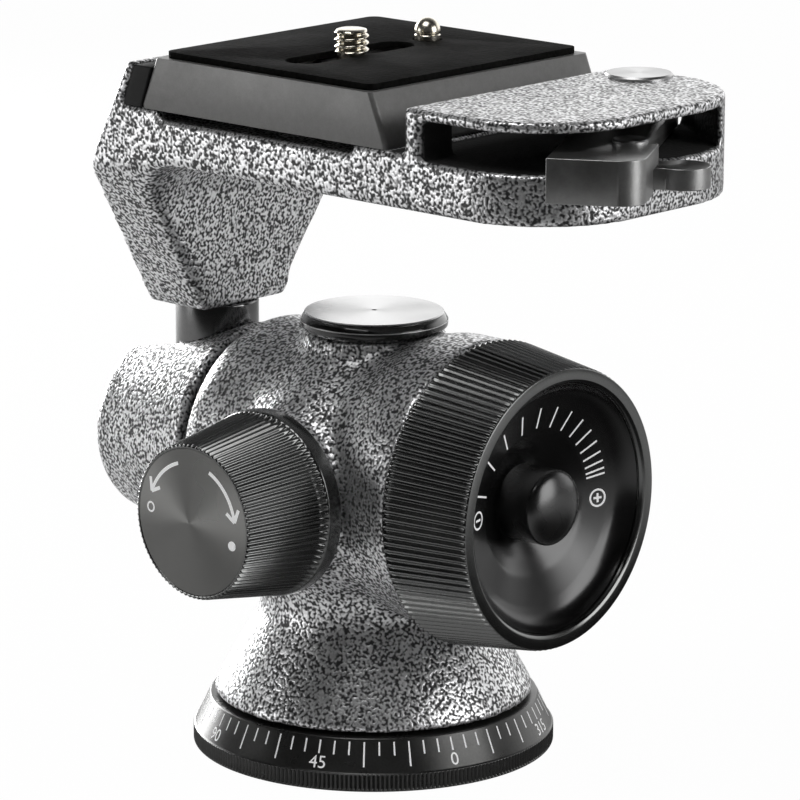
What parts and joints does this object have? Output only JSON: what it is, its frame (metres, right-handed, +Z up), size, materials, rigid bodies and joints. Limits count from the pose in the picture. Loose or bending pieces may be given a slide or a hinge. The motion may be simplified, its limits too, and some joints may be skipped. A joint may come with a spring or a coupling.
{
  "type": "offset tripod ball head",
  "caption": "Tripod head whose ball and stem sit in a tilting cap beside the pan axis, with a cranked arm carrying a quick-release plate, two lock knobs and a clamp lever.",
  "frame": {"origin": "middle of the base's underside, on the pan axis and in the mouth of the tripod thread", "axes": "+Z up along the pan axis, +X along the tilt axis towards the tilt-lock knob, -Y towards the pan-lock knob"},
  "size_m": [0.138, 0.0826, 0.1355],
  "materials": {
    "base_black": "black anodised, printed scale",
    "base_metal": "turned",
    "brass": "turned",
    "steel": "turned",
    "nylon": "moulded",
    "hammertone": "hammertone lacquer",
    "spun_metal": "spun",
    "knob_black": "black anodised, knurled",
    "polished_black": "polished black",
    "jaw_black": "moulded",
    "satin_dark": "satin anodised",
    "satin_steel": "satin",
    "plate_grey": "satin",
    "pad_black": "granular",
    "warm_steel": "threaded"
  },
  "bodies": {
    "base": {"scale_ring": "base_black", "base_plate": "base_metal", "tripod_bush": "brass", "base_screws": "steel", "pan_spindle": "steel", "slip_washer": "nylon", "spring_washer": "steel", "spindle_nut": "steel"},
    "housing": {"housing": "hammertone", "pan_bush": "brass", "top_disc": "spun_metal", "pan_screw_bush": "brass", "tilt_bush": "brass"},
    "pan_knob": {"pan_knob": "knob_black", "pan_face": "spun_metal", "pan_screw": "steel", "pan_knob_screw": "steel"},
    "brake": {"brake_pin": "steel"},
    "tilt_knob": {"tilt_knob": "knob_black", "tilt_hub": "knob_black", "tilt_screw": "steel", "tilt_knob_screw": "steel"},
    "piston": {"piston": "brass", "disc_springs": "steel", "thrust_disc": "steel"},
    "cap": {"ball_cap": "hammertone", "ball_liner": "nylon", "cap_ring": "steel"},
    "ball": {"ball": "steel", "stem": "polished_black"},
    "arm": {"arm": "hammertone", "jaw_liner": "jaw_black", "pivot_pin": "satin_steel", "lever_spring": "steel", "plate": "plate_grey", "pad": "pad_black", "pin_plug": "steel", "pin_spring": "steel"},
    "lever": {"lever": "satin_dark", "catch_pin": "satin_steel", "catch_spring": "steel"},
    "catch": {"safety_catch": "satin_dark"},
    "screw_clip": {"screw_clip": "steel"},
    "camera_screw": {"camera_screw": "warm_steel"},
    "video_pin": {"video_pin": "warm_steel"}
  },
  "joints": [
    {"name": "pan", "type": "hinge", "parent": "base", "child": "housing", "pos_m": [0, 0, 0.02], "axis": [0, 0, 1], "continuous": true},
    {"name": "pan_lock", "type": "hinge", "parent": "housing", "child": "pan_knob", "pos_m": [0, -0.03, 0.0512], "axis": [0, 1, 0], "range_deg": [0, 180]},
    {"name": "pan_brake", "type": "slide", "parent": "housing", "child": "brake", "axis": [0, 0, -1], "range_m": [0, 0.00025]},
    {"name": "tilt_lock", "type": "hinge", "parent": "housing", "child": "tilt_knob", "pos_m": [0.03, 0, 0.0526], "axis": [-1, 0, 0], "range_deg": [0, 190]},
    {"name": "tilt_brake", "type": "slide", "parent": "housing", "child": "piston", "axis": [-1, 0, 0], "range_m": [0, 0.00025]},
    {"name": "tilt", "type": "hinge", "parent": "housing", "child": "cap", "pos_m": [-0.0408, 0, 0.0526], "axis": [1, 0, 0], "range_deg": [-115, 115]},
    {"name": "drop", "type": "hinge", "parent": "cap", "child": "ball", "pos_m": [-0.0408, 0, 0.0526], "axis": [0, -1, 0], "range_deg": [0, 90]},
    {"name": "swivel", "type": "hinge", "parent": "ball", "child": "arm", "pos_m": [-0.0408, 0, 0.085], "axis": [0, 0, 1], "continuous": true},
    {"name": "lever_turn", "type": "hinge", "parent": "arm", "child": "lever", "pos_m": [0.0434, 0.0231, 0.122], "axis": [0, 0, 1], "range_deg": [0, 27], "stiffness_Nm_per_rad": 0.3, "springref_deg": -14.32},
    {"name": "catch_turn", "type": "hinge", "parent": "lever", "child": "catch", "pos_m": [0.06566, -0.00578, 0.117], "axis": [0, 0, -1], "range_deg": [0, 20], "stiffness_Nm_per_rad": 0.02, "springref_deg": -11.46},
    {"name": "screw_slide", "type": "slide", "parent": "arm", "child": "screw_clip", "axis": [0, 1, 0], "range_m": [-0.012, 0.0115]},
    {"name": "screw_turn", "type": "hinge", "parent": "screw_clip", "child": "camera_screw", "pos_m": [-0.0006, -0.0055, 0.125], "axis": [0, 0, 1], "continuous": true},
    {"name": "video_press", "type": "slide", "parent": "arm", "child": "video_pin", "axis": [0, 0, -1], "range_m": [0, 0.0036], "stiffness_N_per_m": 400, "springref_m": -0.002, "deforming": ["pin_spring"]}
  ],
  "couplings": [
    {"joint": "pan_brake", "follows": "pan_lock", "m_per_rad": 0.000076394},
    {"joint": "tilt_brake", "follows": "tilt_lock", "m_per_rad": 0.000072374}
  ]
}
